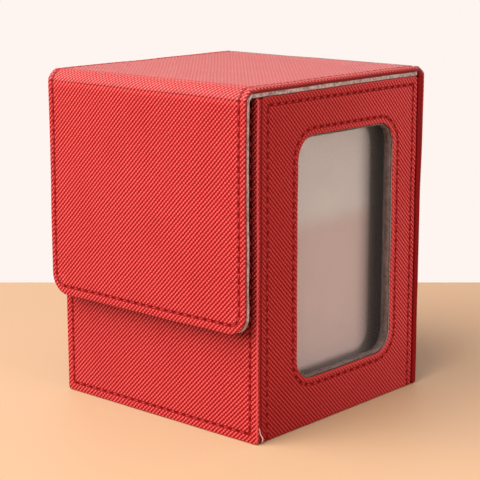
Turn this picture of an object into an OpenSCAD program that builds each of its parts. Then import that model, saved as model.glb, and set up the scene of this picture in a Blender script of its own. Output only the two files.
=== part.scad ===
// Card deck box: boards covered in leather, a wrap that runs from the front panel under
// the floor, up the back, over the lid and down into a flap, and two inset side panels.
// The right side has a window with a pocket behind it for one card on show.
// Millimetres. +Z is up, the flap faces -Y, the window faces +X.
// The origin is at the centre of the footprint, on the surface that the box stands on.

/* [Case] */
// Width of the wrap across the front
case_w = 80; // [74:1:110]
// Depth from the front panel's face to the back panel's face
case_d = 79; // [76:1:100]
// Height of the walls' top edge above the table
wall_top = 100; // [94:1:120]
// How far each side panel's face is set in from the wrap's edge
side_inset = 0.5; // [0:0.1:1.5]

/* [Sheets] */
// Thickness of the leather
leather_t = 0.7; // [0.5:0.1:1]
// Thickness of the board in the front and back panels
wall_board_t = 1.4; // [1:0.1:2]
// Thickness of the board in the floor, the lid and the flap
thin_board_t = 0.9; // [0.8:0.1:1.6]
// Thickness of the board in the plain side panel
plain_board_t = 1.6; // [1:0.1:2]
// Thickness of the board around the window
window_board_t = 2.3; // [1.5:0.1:3]
// Thickness of the suede-cloth lining on the walls and floor
lining_t = 0.6; // [0.4:0.1:1]
// Thickness of the padded lining under the lid and inside the flap
lid_lining_t = 1.1; // [0.6:0.1:1.5]

/* [Lid and flap] */
// Clearance between the walls' top edge and the lid's lining
lid_gap = 0.3; // [0.1:0.1:0.6]
// Space between the flap's lining and the front panel
flap_gap = 2.9; // [1.5:0.1:4]
// Height of the flap's lower edge above the table
flap_bottom = 33; // [25:1:60]
// Radius of the flap's two lower corners
flap_corner_r = 6.5; // [4:0.5:9]
// Outer radius of the fold between the lid and the flap
fold_r = 3.5; // [3.1:0.1:5]
// Thickness of the leather where it is turned double at the fold and the hinge
fold_leather_t = 1.6; // [1.2:0.1:1.8]

/* [Window and pocket] */
// Window opening, front to back
window_d = 46; // [40:1:56]
// Window opening, height
window_h = 72.6; // [60:0.2:76]
// Radius of the window's corners
window_r = 7; // [3:0.5:12]
// Distance from the front panel's face to the window's near edge
window_from_front = 18.5; // [12:0.5:22]
// Height of the window's lower edge above the table
window_bottom = 14.4; // [12:0.2:18]
// Thickness of the clear pane
pane_t = 0.4; // [0.2:0.1:0.8]
// Depth of the card pocket behind the pane's lining
pocket_d = 5; // [4.5:0.5:8]
// Thickness of the board in the divider behind the pocket
divider_board_t = 1.2; // [0.8:0.1:2]
// Thickness of the lining folded over the divider
divider_lining_t = 0.4; // [0.3:0.1:0.6]
// How far the divider's top edge lies below the walls' top edge
divider_drop = 6; // [3:1:15]

/* [Magnets] */
// Radius of the flat disc magnets
magnet_r = 5; // [3:0.5:8]
// Thickness of each magnet
magnet_t = 0.8; // [0.6:0.1:0.8]
// Distance of each magnet from the box's middle
magnet_x = 20; // [10:1:26]
// Height of the magnets above the table
magnet_z = 44; // [42:1:60]

/* [Stitching] */
// Distance between stitches
stitch_pitch = 3.1; // [2:0.1:5]
// Length of thread that shows in each stitch
stitch_l = 1.8; // [1:0.1:3]
// Width of the thread
stitch_w = 0.5; // [0.3:0.1:0.8]
// How far the thread stands out of the leather
stitch_h = 0.25; // [0.1:0.05:0.4]
// Distance of the stitching from the window and from the lid's and the flap's sides
stitch_inset = 2.1; // [1.5:0.1:4]
// Distance of the stitching from the walls' edges and from the flap's lower edge
wall_stitch_inset = 2.8; // [2:0.1:3.5]

/* [Hidden] */

$fn = 64;
over = 1;           // how far a cutting shape runs past the surface that it opens
slack = 0.1;        // clearance round a magnet in its board
edge_lining_t = 0.5; // thickness of the lining round the window's edge
edge_reveal = 0.2;  // how far that lining stands back behind the leather's edge

leather_red = [0.70, 0.10, 0.11];
side_red = [0.60, 0.08, 0.09];
thread_red = [0.42, 0.03, 0.04];
lining_grey = [0.62, 0.54, 0.49];
board_grey = [0.55, 0.53, 0.50];
magnet_grey = [0.75, 0.76, 0.78];
pane_clear = [0.85, 0.84, 0.82, 0.45];

half_w = case_w / 2;
wall_t = leather_t + wall_board_t;
floor_t = leather_t + thin_board_t;
lid_t = leather_t + thin_board_t + lid_lining_t;
total_h = wall_top + lid_gap + lid_t;
total_d = case_d + flap_gap + lid_t;
back_y = total_d / 2;
front_y = back_y - case_d;
flap_y = -total_d / 2;
hinge_r = total_h - wall_top;
hinge_y = back_y - hinge_r;
fold_y = flap_y + fold_r;
fold_z = total_h - fold_r;

side_x = half_w - side_inset;
side_y0 = front_y + wall_t;
side_y1 = back_y - wall_t;
plain_inner_x = -side_x + leather_t + plain_board_t;
pane_x = side_x - leather_t - window_board_t;
window_lining_x = pane_x - pane_t;

// faces of the space inside the linings
room_x0 = plain_inner_x + lining_t;
room_y0 = side_y0 + lining_t;
room_y1 = side_y1 - lining_t;
room_z0 = floor_t + lining_t;
pocket_x1 = window_lining_x - lining_t;
pocket_x0 = pocket_x1 - pocket_d;
divider_t = divider_board_t + 2 * divider_lining_t;
divider_top = wall_top - divider_drop;

window_y = front_y + window_from_front + window_d / 2;
window_z = window_bottom + window_h / 2;

// Each panel's box, leather and board together, as its lowest and highest corner.
front_box = [[-half_w, front_y, 0], [half_w, side_y0, wall_top]];
back_box = [[-half_w, side_y1, 0], [half_w, back_y, wall_top]];
floor_box = [[plain_inner_x, side_y0, 0], [pane_x, side_y1, floor_t]];
window_box = [[pane_x, side_y0, 0], [side_x, side_y1, wall_top]];
plain_box = [[-side_x, side_y0, 0], [plain_inner_x, side_y1, wall_top]];
lid_box = [[-half_w, fold_y, total_h - leather_t - thin_board_t], [half_w, hinge_y, total_h]];
flap_box = [[-half_w, flap_y, flap_bottom], [half_w, flap_y + leather_t + thin_board_t, fold_z]];

// ---- general shapes ----

// A block between two corners.
module block(low, high) {
    translate(low) cube(high - low);
}

// The board inside a panel's box: the leather covers the sides marked 1 in low_skin and high_skin.
module board_in(box, low_skin, high_skin) {
    block(box[0] + leather_t * low_skin, box[1] - leather_t * high_skin);
}

// The leather of a panel's box: a tray that is open where the board's face isn't covered.
module leather_over(box, low_skin, high_skin) {
    difference() {
        block(box[0], box[1]);
        block(box[0] + leather_t * low_skin - over * ([1, 1, 1] - low_skin),
              box[1] - leather_t * high_skin + over * ([1, 1, 1] - high_skin));
    }
}

// Places a flat drawing of (x, z) on a face, growing from y towards the front.
module facing_front(y, thickness) {
    translate([0, y, 0]) rotate([90, 0, 0]) linear_extrude(thickness) children();
}

// Places a flat drawing of (y, z) on a face, growing from x towards the right.
module facing_right(x, thickness) {
    translate([x, 0, 0]) rotate([90, 0, 90]) linear_extrude(thickness) children();
}

// A quarter of a tube along X about the axis through (y, z): towards = 1 opens to the back, -1 to the front.
module quarter_tube(y, z, outer_r, inner_r, half_width, towards) {
    translate([0, y, z]) facing_right(-half_width, 2 * half_width) intersection() {
        difference() {
            circle(outer_r);
            circle(inner_r);
        }
        translate([towards > 0 ? 0 : -outer_r, 0]) square(outer_r);
    }
}

// A rectangle with round corners about a centre, w wide and h high.
module rounded(centre, w, h, r) {
    translate(centre) {
        square([w - 2 * r, h], center = true);
        square([w, h - 2 * r], center = true);
        for (x = [-1, 1], z = [-1, 1])
            translate([x * (w / 2 - r), z * (h / 2 - r)]) circle(r);
    }
}

// The window's outline, larger all round by grow.
module window_outline(grow) {
    rounded([window_y, window_z], window_d + 2 * grow, window_h + 2 * grow, window_r + grow);
}

// The window as a cutter right through the side panel.
module window_cut(grow) {
    facing_right(pocket_x1 - over, side_x - pocket_x1 + 2 * over) window_outline(grow);
}

// The flap's outline, smaller at its sides and lower edge by inset.
module flap_outline(inset) {
    r = flap_corner_r - inset;
    w = 2 * (half_w - inset);
    low = flap_bottom + inset;
    translate([-w / 2, low + r]) square([w, fold_z - low - r]);
    translate([r - w / 2, low]) square([w - 2 * r, r + over]);
    for (x = [-1, 1])
        translate([x * (w / 2 - r), low + r]) circle(r);
}

// ---- stitching, drawn flat ----

// A row of stitches between two points.
module stitch_row(from, to) {
    run = to - from;
    count = round(norm(run) / stitch_pitch);
    for (i = [0 : count - 1])
        translate(from + run * (i + 0.5) / count) rotate(atan2(run[1], run[0]))
            square([stitch_l, stitch_w], center = true);
}

// A quarter circle of stitches about a centre, from the angle start.
module stitch_corner(centre, r, start) {
    count = max(1, round(r * PI / 2 / stitch_pitch));
    for (i = [0 : count - 1])
        translate(centre) rotate(start + 90 * (i + 0.5) / count) translate([r, 0])
            square([stitch_w, stitch_l], center = true);
}

// Two columns and the row that joins them at row_z.
module stitch_three_sides(x0, x1, z0, z1, row_z) {
    stitch_row([x0, z0], [x0, z1]);
    stitch_row([x1, z0], [x1, z1]);
    stitch_row([x0 + stitch_pitch / 2, row_z], [x1 - stitch_pitch / 2, row_z]);
}

// The stitches of a front or back panel.
module wrap_panel_stitches() {
    x = half_w - wall_stitch_inset;
    row_z = wall_stitch_inset;
    stitch_three_sides(-x, x, row_z + stitch_pitch / 2, wall_top - stitch_inset, row_z);
}

// The stitches near the edges of a side panel.
module side_panel_stitches() {
    row_z = wall_top - stitch_inset - 0.4;
    stitch_three_sides(side_y0 + wall_stitch_inset, side_y1 - wall_stitch_inset, stitch_pitch / 2,
                       row_z - stitch_pitch / 2, row_z);
}

// The loop of stitches round the window.
module window_loop_stitches() {
    w = window_d / 2 + stitch_inset;
    h = window_h / 2 + stitch_inset;
    r = window_r + stitch_inset;
    translate([window_y, window_z]) {
        for (y = [-1, 1]) stitch_row([y * w, r - h], [y * w, h - r]);
        for (z = [-1, 1]) stitch_row([r - w, z * h], [w - r, z * h]);
        for (turn = [0 : 3]) {
            y = (turn == 0 || turn == 3 ? 1 : -1) * (w - r);
            z = (turn < 2 ? 1 : -1) * (h - r);
            stitch_corner([y, z], r, 90 * turn);
        }
    }
}

// The stitches down the flap's sides and along its lower edge.
module flap_stitches() {
    x = half_w - stitch_inset;
    z = flap_bottom + wall_stitch_inset;
    r = flap_corner_r - wall_stitch_inset;
    for (side = [-1, 1]) {
        stitch_row([side * x, z + r], [side * x, fold_z]);
        stitch_corner([side * (x - r), z + r], r, side > 0 ? 270 : 180);
    }
    stitch_row([r - x, z], [x - r, z]);
}

// ---- magnets ----

// The two magnets, or with a clearance the pockets for them, between y and y + thickness.
module magnet_pair(y, thickness, clearance) {
    for (side = [-1, 1])
        translate([side * magnet_x, y, magnet_z]) rotate([-90, 0, 0])
            cylinder(r = magnet_r + clearance, h = thickness);
}

// ---- front panel ----

front_low = [1, 1, 1];
front_high = [1, 0, 1];

module front_leather() {
    color(leather_red) leather_over(front_box, front_low, front_high);
}

module front_board() {
    color(board_grey) difference() {
        board_in(front_box, front_low, front_high);
        magnet_pair(front_y + leather_t - over, magnet_t + slack + over, slack);
    }
}

module front_magnets() {
    color(magnet_grey) magnet_pair(front_y + leather_t, magnet_t, 0);
}

module front_lining() {
    color(lining_grey) block([room_x0, side_y0, floor_t], [pocket_x1, room_y0, wall_top]);
}

module front_stitching() {
    color(thread_red) facing_front(front_y, stitch_h) wrap_panel_stitches();
}

// ---- floor panel ----

floor_low = [1, 0, 1];
floor_high = [1, 0, 0];

module floor_leather() {
    color(leather_red) leather_over(floor_box, floor_low, floor_high);
}

module floor_board() {
    color(board_grey) board_in(floor_box, floor_low, floor_high);
}

module floor_lining() {
    color(lining_grey) block([room_x0, room_y0, floor_t], [pocket_x1, room_y1, room_z0]);
}

// ---- back panel ----

back_low = [1, 0, 1];
back_high = [1, 1, 0];

module back_leather() {
    color(leather_red) leather_over(back_box, back_low, back_high);
}

module back_board() {
    color(board_grey) board_in(back_box, back_low, back_high);
}

module back_lining() {
    color(lining_grey) block([room_x0, room_y1, floor_t], [pocket_x1, side_y1, wall_top]);
}

module back_stitching() {
    color(thread_red) facing_front(back_y + stitch_h, stitch_h) wrap_panel_stitches();
}

// ---- window side panel ----

window_low = [0, 1, 1];
window_high = [1, 1, 1];

module window_side_leather() {
    color(side_red) difference() {
        leather_over(window_box, window_low, window_high);
        window_cut(0);
    }
}

module window_side_board() {
    color(board_grey) difference() {
        board_in(window_box, window_low, window_high);
        window_cut(edge_reveal + edge_lining_t);
    }
}

module window_edge_lining() {
    color(lining_grey) difference() {
        facing_right(pane_x, window_board_t) window_outline(edge_reveal + edge_lining_t);
        window_cut(edge_reveal);
    }
}

module window_pane() {
    color(pane_clear) block([window_lining_x, side_y0, floor_t], [pane_x, side_y1, wall_top]);
}

module window_side_lining() {
    color(lining_grey) difference() {
        block([pocket_x1, side_y0, floor_t], [window_lining_x, side_y1, wall_top]);
        window_cut(edge_reveal);
    }
}

module window_side_stitching() {
    color(thread_red) facing_right(side_x, stitch_h) side_panel_stitches();
}

module window_stitching() {
    color(thread_red) facing_right(side_x, stitch_h) window_loop_stitches();
}

// ---- plain side panel ----

plain_low = [1, 1, 1];
plain_high = [0, 1, 1];

module plain_side_leather() {
    color(side_red) leather_over(plain_box, plain_low, plain_high);
}

module plain_side_board() {
    color(board_grey) board_in(plain_box, plain_low, plain_high);
}

module plain_side_lining() {
    color(lining_grey) block([plain_inner_x, side_y0, floor_t], [room_x0, side_y1, wall_top]);
}

module plain_side_stitching() {
    color(thread_red) facing_right(-side_x - stitch_h, stitch_h) side_panel_stitches();
}

// ---- divider between the pocket and the cards ----

divider_box = [[pocket_x0 - divider_t, room_y0, room_z0], [pocket_x0, room_y1, divider_top]];
divider_skin = divider_lining_t * [1, 0, 0];
divider_cap = divider_lining_t * [1, 0, 1];

module divider_board() {
    color(board_grey) block(divider_box[0] + divider_skin, divider_box[1] - divider_cap);
}

module divider_lining() {
    color(lining_grey) difference() {
        block(divider_box[0], divider_box[1]);
        block(divider_box[0] + divider_skin - [0, over, over],
              divider_box[1] - divider_cap + [0, over, 0]);
    }
}

// ---- lid ----

lid_low = [1, 0, 0];
lid_high = [1, 0, 1];

module lid_leather() {
    color(leather_red) leather_over(lid_box, lid_low, lid_high);
}

module lid_board() {
    color(board_grey) board_in(lid_box, lid_low, lid_high);
}

module lid_lining() {
    color(lining_grey) block([-half_w, fold_y, wall_top + lid_gap],
                             [half_w, hinge_y, wall_top + lid_gap + lid_lining_t]);
}

module lid_stitching() {
    x = half_w - stitch_inset;
    color(thread_red) translate([0, 0, total_h]) linear_extrude(stitch_h)
        for (side = [-1, 1]) stitch_row([side * x, fold_y], [side * x, hinge_y]);
}

// The crease that the lid turns on: leather outside, lining inside.
module hinge_leather() {
    color(leather_red)
        quarter_tube(hinge_y, wall_top, hinge_r, hinge_r - fold_leather_t, half_w, 1);
}

module hinge_lining() {
    inner_r = hinge_r - fold_leather_t;
    color(lining_grey)
        quarter_tube(hinge_y, wall_top, inner_r, inner_r - divider_lining_t, side_x - 2, 1);
}

// ---- flap ----

flap_low = [1, 1, 1];
flap_high = [1, 0, 0];

module flap_leather() {
    board_y1 = flap_box[1][1];
    color(leather_red) difference() {
        facing_front(board_y1, board_y1 - flap_y) flap_outline(0);
        facing_front(board_y1 + over, thin_board_t + over) union() {
            flap_outline(leather_t);
            translate([leather_t - half_w, fold_z - over]) square([2 * (half_w - leather_t), 2 * over]);
        }
    }
}

module flap_board() {
    color(board_grey) difference() {
        facing_front(flap_box[1][1], thin_board_t) flap_outline(leather_t);
        magnet_pair(flap_y + leather_t - over, magnet_t + over, slack);
    }
}

module flap_magnets() {
    color(magnet_grey) magnet_pair(flap_y + leather_t, magnet_t, 0);
}

module flap_lining() {
    color(lining_grey) facing_front(flap_y + lid_t, lid_lining_t) flap_outline(0);
}

module flap_stitching() {
    color(thread_red) facing_front(flap_y, stitch_h) flap_stitches();
}

// The crease between the lid and the flap.
module fold_leather() {
    color(leather_red)
        quarter_tube(fold_y, fold_z, fold_r, fold_r - fold_leather_t, half_w, -1);
}

module fold_lining() {
    color(lining_grey)
        quarter_tube(fold_y, fold_z, fold_r - fold_leather_t, fold_r - lid_t, half_w, -1);
}

front_leather();
front_board();
front_lining();
front_magnets();
front_stitching();
floor_leather();
floor_board();
floor_lining();
back_leather();
back_board();
back_lining();
back_stitching();
window_side_leather();
window_side_board();
window_side_lining();
window_edge_lining();
window_pane();
window_side_stitching();
window_stitching();
plain_side_leather();
plain_side_board();
plain_side_lining();
plain_side_stitching();
divider_board();
divider_lining();
lid_leather();
lid_board();
lid_lining();
lid_stitching();
hinge_leather();
hinge_lining();
flap_leather();
flap_board();
flap_lining();
flap_magnets();
flap_stitching();
fold_leather();
fold_lining();
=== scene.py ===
import math
from collections import namedtuple

import bmesh
import bpy
import numpy as np
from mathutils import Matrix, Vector, noise


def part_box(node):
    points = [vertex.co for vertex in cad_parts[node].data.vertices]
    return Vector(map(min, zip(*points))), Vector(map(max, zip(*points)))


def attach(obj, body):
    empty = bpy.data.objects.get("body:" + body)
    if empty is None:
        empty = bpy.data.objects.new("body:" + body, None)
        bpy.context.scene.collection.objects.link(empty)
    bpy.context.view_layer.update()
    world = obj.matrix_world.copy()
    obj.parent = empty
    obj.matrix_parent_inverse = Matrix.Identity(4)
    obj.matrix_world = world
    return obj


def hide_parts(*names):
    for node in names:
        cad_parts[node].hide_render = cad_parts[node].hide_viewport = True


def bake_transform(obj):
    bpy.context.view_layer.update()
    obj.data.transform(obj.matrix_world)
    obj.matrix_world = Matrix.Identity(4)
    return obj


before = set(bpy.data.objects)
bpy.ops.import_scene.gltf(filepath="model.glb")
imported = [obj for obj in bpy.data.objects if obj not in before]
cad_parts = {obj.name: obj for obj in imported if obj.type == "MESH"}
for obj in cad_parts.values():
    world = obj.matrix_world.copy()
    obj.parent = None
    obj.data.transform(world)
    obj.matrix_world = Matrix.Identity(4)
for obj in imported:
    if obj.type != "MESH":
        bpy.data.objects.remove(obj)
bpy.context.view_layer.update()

noise.seed_set(7)        # without a seed of its own, noise_vector would change with the time of day

# Lengths are in millimetres until a mesh is finished, and then become metres.
MM = 0.001

# ---- driving sizes of the looks ----
LEATHER_T = 0.7          # thickness of the leather

# the leather's way round a board's edge: its radius at the face, its radius behind, and how much its
# outermost line is rubbed paler, from use and as a painted highlight
Edge = namedtuple("Edge", "radius behind wear")
SIDE_EDGE = Edge(0.6, 0.9, 0.5)
FRONT_EDGE = Edge(0.5, 0.9, 0.8)
BACK_EDGE = Edge(1.2, 0.8, 0.1)
LID_EDGE = Edge(0.75, 0.75, 0.1)
FLAP_EDGE = Edge(0.55, 0.55, 0.1)
# this reach also covers the painted highlight along an edge's outermost line
WEAR_AND_HIGHLIGHT_REACH = 0.45        # how far the wear reaches from an edge's outermost line
# this value also paints a highlight along the window's edge
WINDOW_EDGE_WEAR_AND_HIGHLIGHT = 0.2   # how worn the leather is where it turns into the window
FLAP_WRAP_T = 1.2        # how deep the flap's leather shows at its edge, before the lining
WINDOW_EDGE_R = 0.6      # radius of the leather where it turns into the window
HEM = 6.0                # width of the leather that is turned in behind a board
HEM_LIFT = 0.2           # how far the turned-in leather lies above the board's inner face
CORNER_R = 1.2           # radius of a square-cut panel's corners
FLAP_CORNER_R = 6.5      # radius of the flap's two lower corners
WINDOW_R = 7.0           # radius of the window's corners
WINDOW_LINING_OUT = 0.7  # how far the window's edge lining reaches behind the leather

STITCH_PITCH = 3.1       # length of one stitch with the gap after it
# the stitch hole is painted dark red as shade, with only a slight dent
HOLE_HALF_LENGTH = 1.0   # the dark hole between two stitches
HOLE_HALF_WIDTH = 0.46
STITCH_LENGTH = 1.8      # the part of a stitch that lies on the leather
STITCH_R = 0.25
STITCH_SUNK = 0.13       # how far a stitch's middle lies below the leather's face
STITCH_INSET = 2.1       # stitching to the window and to the lid's and the flap's sides
WALL_STITCH_INSET = 2.8  # stitching to the walls' edges and to the flap's lower edge
SIDE_TOP_INSET = 2.5     # stitching to the side panels' top edge
GROOVE_DEPTH = 0.22      # how deep a row of stitches pulls the leather in
GROOVE_W = 0.45          # how far beside the row it does so
ROW_REACH = 2.0          # how far a row of stitches has any effect beside it
SIDE_GAP = 0.5           # gap between a side panel's leather and the front and back panels
FRONT_SHIFT = 37.0       # how far the front panel's embossing is out of step with the flap's

CLOTH_EDGE_R = 0.3       # radius of a lining's edges
LINING_INSET = 0.3       # how far the lining stays inside the leather's edge
LINING_CORNER_R = 5.3    # the flap's lining is cut squarer than its leather
LINING_FRAY = 0.3        # how uneven the lining's long edges are cut
LINING_LAP = 0.6         # how far a crease's lining goes on past the crease
LID_LINING_SAG = 0.2     # how far the lid's lining bulges down
HINGE_LINING_T = 0.4

PAST_CUT = 10.0          # how far a panel is drawn past the line where it is cut off

EDGE_STEPS = 5           # mesh lines round an edge
CORNER_STEPS = 8         # mesh lines round a corner
CREASE_STEPS = 12        # mesh lines round a crease
GRID_STEP = 3.0          # distance between the mesh lines of a flat face
# where mesh lines lie beside a row of stitches
BESIDE_STITCHES = (-0.9, -0.55, -0.28, 0.0, 0.28, 0.55, 0.9, 1.6)


def mm_box(node):
    """Lowest and highest corner of a CAD node, in millimetres."""
    low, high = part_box(node)
    return np.array(low) / MM, np.array(high) / MM


# ---- places, from the frame ----
FRONT_LOW, FRONT_HIGH = mm_box("front_leather")
BACK_LOW, BACK_HIGH = mm_box("back_leather")
SIDE_LOW, SIDE_HIGH = mm_box("window_side_leather")
PLAIN_LOW, PLAIN_HIGH = mm_box("plain_side_leather")
FLOOR_LOW, FLOOR_HIGH = mm_box("floor_leather")
LID_LOW, LID_HIGH = mm_box("lid_leather")
FLAP_LOW = mm_box("flap_leather")[0]
FOLD_LOW, FOLD_HIGH = mm_box("fold_leather")
HINGE_LOW, HINGE_HIGH = mm_box("hinge_leather")
PANE_HIGH = mm_box("window_pane")[1]
LINING_LOW, LINING_HIGH = mm_box("window_edge_lining")

HALF_W = FRONT_HIGH[0]
WALL_TOP = FRONT_HIGH[2]
FOLD_R = FOLD_HIGH[1] - FOLD_LOW[1]
FOLD_Y, FOLD_Z = FOLD_HIGH[1], FOLD_LOW[2]
HINGE_R = HINGE_HIGH[1] - HINGE_LOW[1]
HINGE_Y = HINGE_LOW[1]
CREASE_FLATTENED = 0.32  # a crease is flatter in its middle than a round tube
FOLD_LENGTH = FOLD_R * math.pi / 2
HINGE_LENGTH = HINGE_R * math.pi / 2
LID_LENGTH = HINGE_Y - FOLD_Y
WRAP_T = FRONT_HIGH[1] - FRONT_LOW[1]
LID_T = LID_HIGH[2] - LID_LOW[2]
WINDOW_LOW = LINING_LOW[1:] + WINDOW_LINING_OUT
WINDOW_HIGH = LINING_HIGH[1:] - WINDOW_LINING_OUT
# the pocket's back has painted light: the table's warm tone below this height, the wall's grey above it
POCKET_PAINTED_LIGHT_Z = 58.5     # height at which the pocket's back changes its tone


def smooth(low, high, x):
    """0 below low, 1 above high, and a smooth step between."""
    t = np.clip((x - low) / (high - low), 0, 1)
    return t * t * (3 - 2 * t)


# ---- sheets: a panel is drawn at (u, v) with a height n, and a surface says where that is ----

def plane(origin, u_axis, v_axis, normal):
    """A flat surface."""
    axes = np.array([u_axis, v_axis, normal], float)
    return lambda uvn: np.array(origin, float) + np.asarray(uvn, float) @ axes


def crease(centre_y, centre_z, radius, start, end, facing=1):
    """A quarter of a tube along X, that goes on straight at both ends. v runs round it from the
    direction start to the direction end. facing is -1 for a surface that faces the tube's middle."""
    def place(uvn):
        u, v, n = np.asarray(uvn, float).T
        angle = np.clip(v / radius, 0, math.pi / 2)
        outward = np.outer(np.cos(angle), start) + np.outer(np.sin(angle), end)
        onward = np.outer(np.cos(angle), end) - np.outer(np.sin(angle), start)
        reach = radius + facing * n - CREASE_FLATTENED * np.sin(2 * angle) ** 2
        past = v - angle * radius
        yz = np.array([centre_y, centre_z]) + reach[:, None] * outward + past[:, None] * onward
        return np.column_stack([u, yz])
    return place


RIGHT, LEFT, BACKWARD, FORWARD, UP, DOWN = (
    (1, 0, 0), (-1, 0, 0), (0, 1, 0), (0, -1, 0), (0, 0, 1), (0, 0, -1))

FRONT_FACE = plane((0, FRONT_LOW[1], 0), RIGHT, UP, FORWARD)
BACK_FACE = plane((0, BACK_HIGH[1], 0), LEFT, UP, BACKWARD)
SIDE_FACE = plane((SIDE_HIGH[0], 0, 0), BACKWARD, UP, RIGHT)
PLAIN_FACE = plane((PLAIN_LOW[0], 0, 0), FORWARD, UP, LEFT)
FLOOR_FACE = plane((0, 0, 0), RIGHT, FORWARD, DOWN)
LID_FACE = plane((0, 0, LID_HIGH[2]), RIGHT, BACKWARD, UP)
FLAP_FACE = plane((0, FLAP_LOW[1], 0), RIGHT, UP, FORWARD)
FOLD_FACE = crease(FOLD_Y, FOLD_Z, FOLD_R, (-1, 0), (0, 1))
HINGE_FACE = crease(HINGE_Y, WALL_TOP, HINGE_R, (0, 1), (1, 0))


def soften(points):
    """Moves sewn pieces a little, as hand-folded leather lies: slow waves, which don't lift the foot,
    and a back panel that bulges towards the hinge."""
    wave_length, wave_height, foot = 17.0, 0.13, 4.0
    bulge, bulge_starts, bulge_ends = 0.9, 45.0, 96.0
    moved = np.array(points, float)
    for i, p in enumerate(points):
        moved[i] += wave_height * np.array(noise.noise_vector(Vector(p) / wave_length))
    _, y, z = np.array(points, float).T
    moved[:, 2] = z + (moved[:, 2] - z) * smooth(0, foot, z)
    moved[:, 1] += bulge * smooth(bulge_starts, bulge_ends, z) * smooth(BACK_LOW[1], BACK_HIGH[1], y)
    return moved


# ---- rows of stitches, on a sheet ----

class StraightRow:
    """Stitches along a line."""

    def __init__(self, start, end):
        self.start = np.array(start, float)
        run = np.array(end, float) - self.start
        self.length = float(np.linalg.norm(run))
        self.way = run / self.length
        self.count = max(1, round(self.length / STITCH_PITCH))

    def at(self, share):
        """The point at a share of the row's length, and the row's direction there."""
        return self.start + self.way * self.length * share, self.way

    def local(self, point):
        """How far along the row a point is, and how far beside it."""
        offset = point - self.start
        return offset @ self.way, self.way[0] * offset[1] - self.way[1] * offset[0]


class CornerRow:
    """Stitches round a quarter circle, anticlockwise from the angle start."""

    def __init__(self, centre, radius, start):
        self.centre = np.array(centre, float)
        self.radius = radius
        self.angle = math.radians(start)
        self.length = radius * math.pi / 2
        self.count = max(1, round(self.length / STITCH_PITCH))

    def at(self, share):
        a = self.angle + share * math.pi / 2
        out = np.array([math.cos(a), math.sin(a)])
        return self.centre + self.radius * out, np.array([-out[1], out[0]])

    def local(self, point):
        offset = point - self.centre
        turn = (math.atan2(offset[1], offset[0]) - self.angle + math.pi / 4) % (2 * math.pi) - math.pi / 4
        return turn * self.radius, self.radius - float(np.linalg.norm(offset))


def beside(rows, point):
    """How far a point lies beside the nearest row of stitches that runs past it, if any does."""
    distances = []
    for row in rows:
        along, across = row.local(point)
        half_step = row.length / row.count / 2
        if -half_step <= along <= row.length + half_step and abs(across) < ROW_REACH:
            distances.append(abs(across))
    return min(distances, default=math.inf)


def nearest_row(rows, point):
    """The row whose line is nearest to a point."""
    def distance(row):
        along, across = row.local(point)
        return math.hypot(across, max(0.0, -along, along - row.length))
    return min(rows, key=distance)


def three_sides(u0, u1, v0, v1, row_v):
    """Two columns, and the row that joins them at row_v."""
    return [StraightRow((u0, v0), (u0, v1)), StraightRow((u1, v0), (u1, v1)),
            StraightRow((u0 + STITCH_PITCH / 2, row_v), (u1 - STITCH_PITCH / 2, row_v))]


def ring_rows(low, high, radius):
    """Rows round a rectangle with round corners."""
    (u0, v0), (u1, v1) = low, high
    r = radius
    rows = [StraightRow((u0, v0 + r), (u0, v1 - r)), StraightRow((u1, v0 + r), (u1, v1 - r)),
            StraightRow((u0 + r, v0), (u1 - r, v0)), StraightRow((u0 + r, v1), (u1 - r, v1))]
    corners = [(u1 - r, v1 - r), (u0 + r, v1 - r), (u0 + r, v0 + r), (u1 - r, v0 + r)]
    return rows + [CornerRow(centre, r, 90 * i) for i, centre in enumerate(corners)]


STITCH_X = HALF_W - STITCH_INSET
WALL_STITCH_X = HALF_W - WALL_STITCH_INSET
WRAP_ROWS = three_sides(-WALL_STITCH_X, WALL_STITCH_X, WALL_STITCH_INSET + STITCH_PITCH / 2,
                        WALL_TOP - STITCH_INSET, WALL_STITCH_INSET)


def side_rows(u0, u1):
    """The rows near the edges of a side panel that spans u0 to u1."""
    top = WALL_TOP - SIDE_TOP_INSET
    return three_sides(u0 + WALL_STITCH_INSET, u1 - WALL_STITCH_INSET, STITCH_PITCH / 2,
                       top - STITCH_PITCH / 2, top)


def flap_rows():
    """Down the flap's sides, round its corners and along its lower edge."""
    low = FLAP_LOW[2] + WALL_STITCH_INSET
    r = FLAP_CORNER_R - WALL_STITCH_INSET
    rows = [StraightRow((side * STITCH_X, low + r), (side * STITCH_X, FOLD_Z)) for side in (-1, 1)]
    rows += [CornerRow((side * (STITCH_X - r), low + r), r, 180 if side < 0 else 270) for side in (-1, 1)]
    return rows + [StraightRow((r - STITCH_X, low), (STITCH_X - r, low))]


def column_rows(v0, v1):
    """A row down both sides of the wrap."""
    return [StraightRow((side * STITCH_X, v0), (side * STITCH_X, v1)) for side in (-1, 1)]


SIDE_ROWS = side_rows(SIDE_LOW[1], SIDE_HIGH[1])
PLAIN_ROWS = side_rows(-PLAIN_HIGH[1], -PLAIN_LOW[1])
WINDOW_ROWS = ring_rows(WINDOW_LOW - STITCH_INSET, WINDOW_HIGH + STITCH_INSET, WINDOW_R + STITCH_INSET)
FLAP_ROWS = flap_rows()
LID_ROWS = column_rows(FOLD_Y, HINGE_Y)
FOLD_ROWS = column_rows(0, FOLD_LENGTH)


def leather_height(u, v, rows):
    """The face's height: it is drawn in along a row of stitches."""
    return -GROOVE_DEPTH * math.exp(-(beside(rows, np.array([u, v])) / GROOVE_W) ** 2)


# ---- drafts: meshes in sheet coordinates ----

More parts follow.
